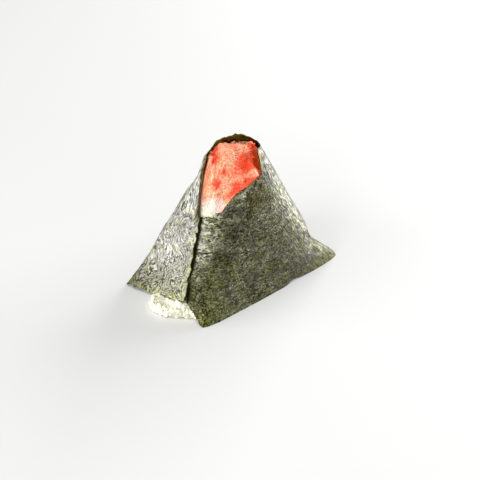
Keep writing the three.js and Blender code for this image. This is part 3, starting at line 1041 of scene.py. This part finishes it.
# light: the crests of the strands are paler, partly their own colour and partly painted sheen, silver grey
# on the flap and on the right edge where the light glances off them
light = 0.68 - 0.08 * at.left + 0.22 * at.right - 0.45 * at.tips - 0.30 * at.wing
light = spread(strands, 0.51, 0.66) * (light + at.upper * (0.35 - 0.55 * broad_patch))
skin = blend(light, skin, blend(at.left + at.right, OLIVE_STRAND, GREY_STRAND))
skin = blend(at.low_left * spread(mottle, 0.38, 0.58) * 0.25, skin, FOOT_GREEN)
cells = {"Vector": here, "Scale": 1 / (3.4 * MM)}
dots = nori_look.node("ShaderNodeTexVoronoi", inputs=cells, output="Distance")
skin = blend(spread(dots, 0.17, 0.10) * 0.85, skin, PALE_DOT)
# painted sheen beside the seam, and pale nori along the front rim
pale = spread(clouds(nori_look.place(stretch=(0.5, 0.5, 1.0)), 1.5, 1.5, twist=1.0), 0.44, 0.58)
pale_places = spread(clouds(here, 5.0, 1.0, twist=0.8), 0.40, 0.54)
skin = blend(at.stretched * (0.25 + 0.75 * pale) * (0.15 + 0.85 * pale_places), skin, PALE_SHEEN)
skin = blend(at.thin * spread(mottle, 0.35, 0.55) * 0.85, skin, THIN_EDGE)
skin = blend(at.glow * spread(mottle, 0.42, 0.56), skin, LIT_EDGE)
skin = blend(at.warm * spread(mottle, 0.38, 0.56) * 0.9, skin, OLIVE_BROWN)
brown = blend(spread(mottle, 0.42, 0.60), DARK_BROWN, BROWN)
brown = blend(spread(patch, 0.47, 0.56) * 0.8, brown, BROWN_GREEN)
skin = blend(at.inside * 0.9, skin, brown)
nori_look.wear(
    Base_Color=skin,
    Roughness=0.34 + at.matt * 0.35 + at.inside * 0.3 + at.right * 0.24 - at.wing * 0.08 + at.back * 0.3,
    Normal=nori_look.bump(strands * (1 - at.right * 0.5) + grit * plain * 0.5 + speck * 0.15, 0.55),
)
print("nodes so far:", len(nori_look.tree.nodes))

# %% [markdown]
# ## Dull places and painted shade of the nori
# A rougher surface alone would still leave the creases grey under large soft lights. So a second,
# dark shader that hardly reflects is mixed in. In the creases, the small hollows, the open seam and
# its foot, on the lower front and near the outline of the right edge it is painted shade; on the rims,
# the patches and the tips it makes the nori dull and darker. `dull_and_shade` adds up the weaker
# reasons, and `kept_shine` is the share of the glossy skin that is left.

# %% Dull places and painted shade of the nori
CREASE_SHADOW, RIM_SHADOW = (0.012, 0.012, 0.003), (0.036, 0.022, 0.003)
OLIVE_SHADOW, SEAM_SHADOW = (0.034, 0.029, 0.006), (0.006, 0.006, 0.002)
shadow = blend(at.warm, blend(at.dark_rim, CREASE_SHADOW, RIM_SHADOW), OLIVE_SHADOW)
shadow = blend(at.gap, blend(at.inside, shadow, brown), SEAM_SHADOW)
# hollow: painted shade in the small hollows of the grit
hollow = spread(grit, 0.52, 0.38)
dull_places = spread(clouds(here, 7.0, 3.0, twist=0.8), 0.60, 0.42)
dull_and_shade = plain * (1 - at.stretched) * (dull_places * 0.27 + 0.12) + plain * hollow * (0.38 - 0.2 * at.dim)
dull_and_shade = dull_and_shade + at.tips * (0.30 + 0.35 * at.left) + at.dim * 0.19 + at.warm * 0.48
dull_and_shade = dull_and_shade + at.blots * spread(clouds(here, 3.0, 2.0, twist=0.8), 0.34, 0.52) * 0.42
dull_and_shade = dull_and_shade + at.upper * (broad_patch * 0.5 - 0.1) + at.seam_foot * 0.32
broken_rim = at.dark_rim * (0.86 + 0.2 * spread(mottle, 0.35, 0.6))
# edge: painted shade near the outline of the right edge, where the surface turns away from the camera
grazing = nori_look.node("ShaderNodeLayerWeight", inputs={"Blend": 0.5}, output="Facing")
edge = spread(at.right, 0.12, 0.5) * spread(grazing, 0.52, 0.85)
kept_shine = (1 - dark * (0.85 - 0.35 * at.back - 0.30 * at.right)) * (1 - dull_and_shade) * (1 - edge * 0.50)
kept_shine = kept_shine * (1 - at.ridge * 0.7) * (1 - at.inside * 0.85)
kept_shine = kept_shine * (1 - broken_rim * 0.95) * (1 - at.gap * 0.97)
nori_look.darken(1 - kept_shine, shadow)
dress(nori, nori_look)

# %% [markdown]
# ## Finish of the rice
# Cooked rice is white, slightly see-through and wet enough to shine. Light that spreads inside the
# grain (subsurface) keeps the shadows between grains soft.

# %% Rice finish
CREAM, WHITE, SHADED = (0.83, 0.815, 0.60), (0.89, 0.88, 0.71), (0.62, 0.595, 0.40)
rice_look = Finish("cooked_rice", Subsurface_Weight=0.4, Subsurface_Scale=0.003,
                   Subsurface_Radius=(1.0, 0.9, 0.7), Specular_IOR_Level=0.4)
here = rice_look.place()
milky = rice_look.clouds(here, 1.6, 2.0)
white = rice_look.blend(rice_look.spread(milky, 0.3, 0.7), CREAM, WHITE)
white = rice_look.blend(rice_look.stored("shade"), white, SHADED)
rice_look.wear(Base_Color=white, Roughness=0.42 + 0.15 * milky,
               Normal=rice_look.bump(rice_look.clouds(here, 0.9, 2.0), 0.06, 0.5))
dress(grains, rice_look)
dress(tip_grains, rice_look)
dress(rice_core, rice_look)

# %% [markdown]
# ## Finish of the roe
# The eggs are pink orange where they are whole and pale where they are crushed, with deeper red
# where the clump is thick and wet, and with a dark red painted shade under the right rim of the hood.
# The hollows between eggs are redder, because light reaches them through the eggs.

# %% Roe finish
PINK_ORANGE, RED, CRUSHED = (0.88, 0.415, 0.245), (0.90, 0.056, 0.010), (0.95, 0.58, 0.46)
DEEP_ORANGE, HOLLOW_RED, PALE_PINK = (0.80, 0.13, 0.05), (0.86, 0.15, 0.05), (0.93, 0.76, 0.70)
WET_AND_SHADE_RED, WET_AND_SHADE_BROWN = (0.22, 0.012, 0.001), (0.42, 0.05, 0.004)
roe_look = Finish("salted_roe", Subsurface_Weight=0.45, Subsurface_Scale=0.0015,
                  Subsurface_Radius=(1.0, 0.35, 0.2), Specular_IOR_Level=0.28)
clouds, spread, blend = roe_look.clouds, roe_look.spread, roe_look.blend
here, tone = roe_look.place(), roe_look.stored("tone")
patches, small = clouds(here, 3.0, 2.0, twist=0.5), clouds(here, 0.9, 2.0)
wet_and_shade = roe_look.stored("redness_and_shade") + (patches - 0.5) * 0.9 + (small - 0.5) * 0.6 + 0.1
flesh = blend(spread(wet_and_shade, -0.1, 0.7), PINK_ORANGE, RED)
flesh = blend(spread(tone, 0.55, 0.8) * spread(wet_and_shade, 1.2, 0.2) * 0.6, flesh, CRUSHED)
flesh = blend(spread(tone, 0.45, 0.2) * 0.5, flesh, DEEP_ORANGE)
flesh = blend((1 - roe_look.stored("egg")) * 0.4, flesh, HOLLOW_RED)
flesh = blend(spread(wet_and_shade, -0.3, -1.7) * 0.95, flesh, PALE_PINK)
roe_look.wear(Base_Color=flesh, Roughness=0.40 + 0.25 * small,
              Normal=roe_look.bump(clouds(here, 0.7, 1.0), 0.08, 0.6))
# dark red where the clump is thick and wet, and as painted shade under the right rim of the hood
roe_look.darken(spread(wet_and_shade, 0.85, 1.75) * 0.92, blend(small, WET_AND_SHADE_RED, WET_AND_SHADE_BROWN))
dress(roe_core, roe_look)
dress(loose, roe_look)

# %% [markdown]
# ## Ground
# A plain pale ground, slightly uneven in tone, takes the soft shadow of the rice ball. It is only a
# stage, so it stays out of the part.

# %% Ground
GROUND_HALF = 4000
square = np.array([(-1, -1, 0), (1, -1, 0), (1, 1, 0), (-1, 1, 0)])
ground = build("ground", square * GROUND_HALF, [(0, 1, 2, 3)])
ground_look = Finish("pale_ground", Roughness=0.6)
soft = ground_look.clouds(ground_look.place(), 300.0, 1.0)
ground_look.wear(Base_Color=ground_look.blend(soft, (0.46, 0.46, 0.453), (0.48, 0.48, 0.476)))
dress(ground, ground_look)

# %% [markdown]
# ## Light
# There are four soft lights: a large one low behind on the left that makes the flap shine, a long
# one on the right for the edge, a weak one for the front left corner, and one from above. Small
# lamps would put hard points on the strands, so all four are rectangles. An even white sky fills
# the shadows.

# %% Lights
# name, place and size in millimetres, power in watts
LIGHTS = (
    ("key_back_left", (-950, 420, 170), (900, 340), 20.8),
    ("edge_right", (1000, 60, 160), (1300, 320), 48),
    ("corner_left", (-900, -330, 420), (500, 300), 5),
    ("top", (-200, -300, 1300), (900, 900), 14.5),
)
LIT_POINT = np.array((0.0, 0.0, 40.0))
SKY_COLOUR, SKY_STRENGTH = (1.0, 1.0, 1.0, 1.0), 0.3


def put(name, data, place_mm, direction):
    """A lamp or camera at a place, looking along a direction."""
    holder = bpy.data.objects.new(name, data)
    bpy.context.scene.collection.objects.link(holder)
    holder.location = np.asarray(place_mm, float) * MM
    holder.rotation_euler = Vector(direction).to_track_quat("-Z", "Y").to_euler()
    return holder


for name, place, (long_side, short_side), watts in LIGHTS:
    lamp = bpy.data.lights.new(name, "AREA")
    lamp.shape, lamp.size, lamp.size_y = "RECTANGLE", long_side * MM, short_side * MM
    lamp.energy = watts
    put(name, lamp, place, LIT_POINT - place).visible_camera = False
world = bpy.data.worlds.new("white_sky")
world.use_nodes = True
world.node_tree.nodes["Background"].inputs["Color"].default_value = SKY_COLOUR
world.node_tree.nodes["Background"].inputs["Strength"].default_value = SKY_STRENGTH
bpy.context.scene.world = world
print("soft lights:", len(LIGHTS), "with", sum(light[-1] for light in LIGHTS), "watts")

# %% [markdown]
# ## Camera
# The camera looks down on the rice ball from the front left. A long lens from far away keeps the
# shape calm, where a short lens close by would make the front corner loom. The colours are shown as
# they are worked out, with the view transform Standard.

# %% Camera
AZIMUTH, ELEVATION, DISTANCE = math.radians(-38.4), math.radians(40.0), 770.0
AIM = np.array((15.37, 16.85, 0.0))
sideways, up = math.cos(ELEVATION), math.sin(ELEVATION)
towards_camera = np.array((math.sin(AZIMUTH) * sideways, -math.cos(AZIMUTH) * sideways, up))
lens = bpy.data.cameras.new("camera")
lens.lens, lens.sensor_width, lens.clip_start = 105.0, 36.0, 0.01
bpy.context.scene.camera = put("camera", lens, AIM + towards_camera * DISTANCE, -towards_camera)
bpy.context.scene.view_settings.view_transform = "Standard"
print("camera at", (AIM + towards_camera * DISTANCE).round(1))
